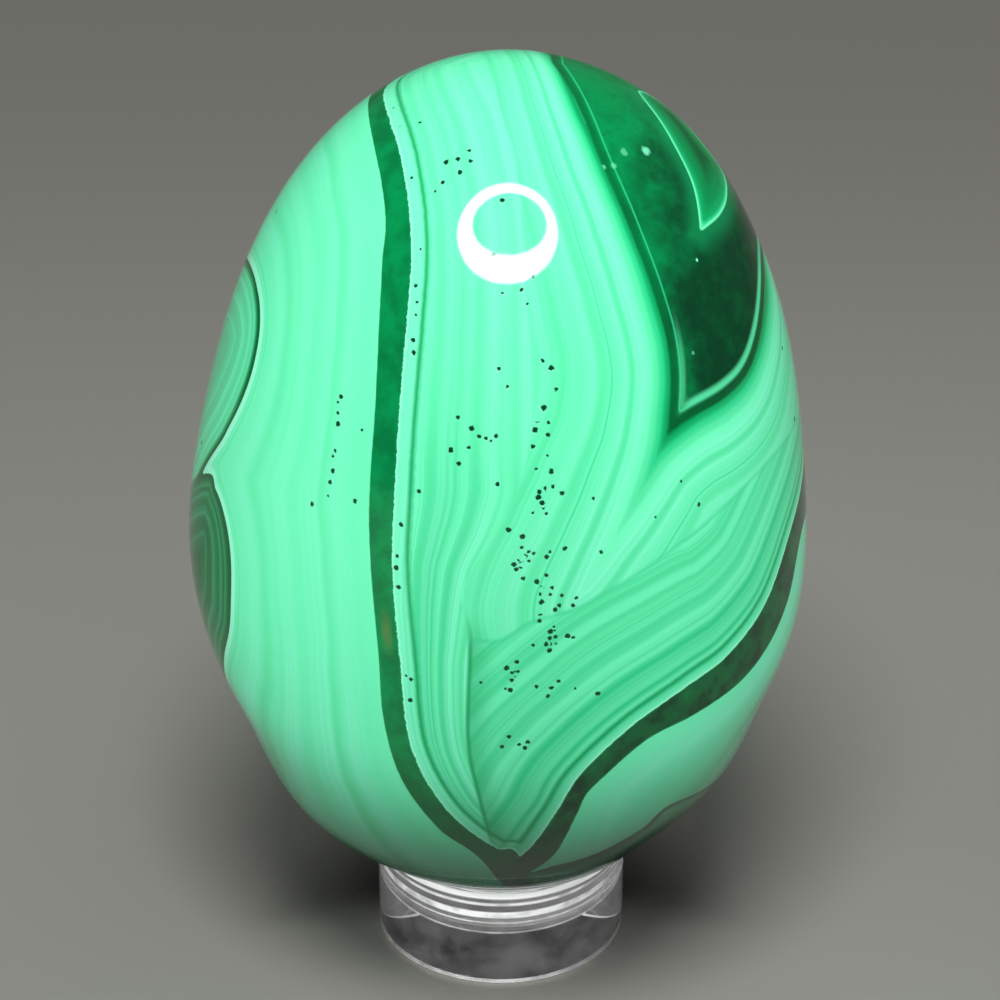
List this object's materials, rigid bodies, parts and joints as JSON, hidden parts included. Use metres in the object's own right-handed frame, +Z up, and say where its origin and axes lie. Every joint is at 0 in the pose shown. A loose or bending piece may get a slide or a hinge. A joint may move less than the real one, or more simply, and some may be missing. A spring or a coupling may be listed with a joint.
{
  "type": "decorative egg on stand",
  "caption": "Polished banded green stone egg standing blunt end down in a short clear ring with a waisted bore and a seat turned to its curve.",
  "frame": {"origin": "centre of the ring's foot, on the surface that the ring stands on", "axes": "+Z up along the ring's axis and close to the egg's long axis; the viewer of the picture stands towards -Y, with +X to the right"},
  "size_m": [0.0584, 0.0584, 0.0923],
  "materials": {
    "banded_stone": "polished",
    "clear_acrylic": "polished"
  },
  "bodies": {
    "stand": {"ring_stand": "clear_acrylic"},
    "egg": {"malachite_egg": "banded_stone"}
  },
  "joints": [
    {"name": "egg_lift", "type": "slide", "parent": "stand", "child": "egg", "axis": [0, 0, 1], "range_m": [0, 0.03]}
  ]
}
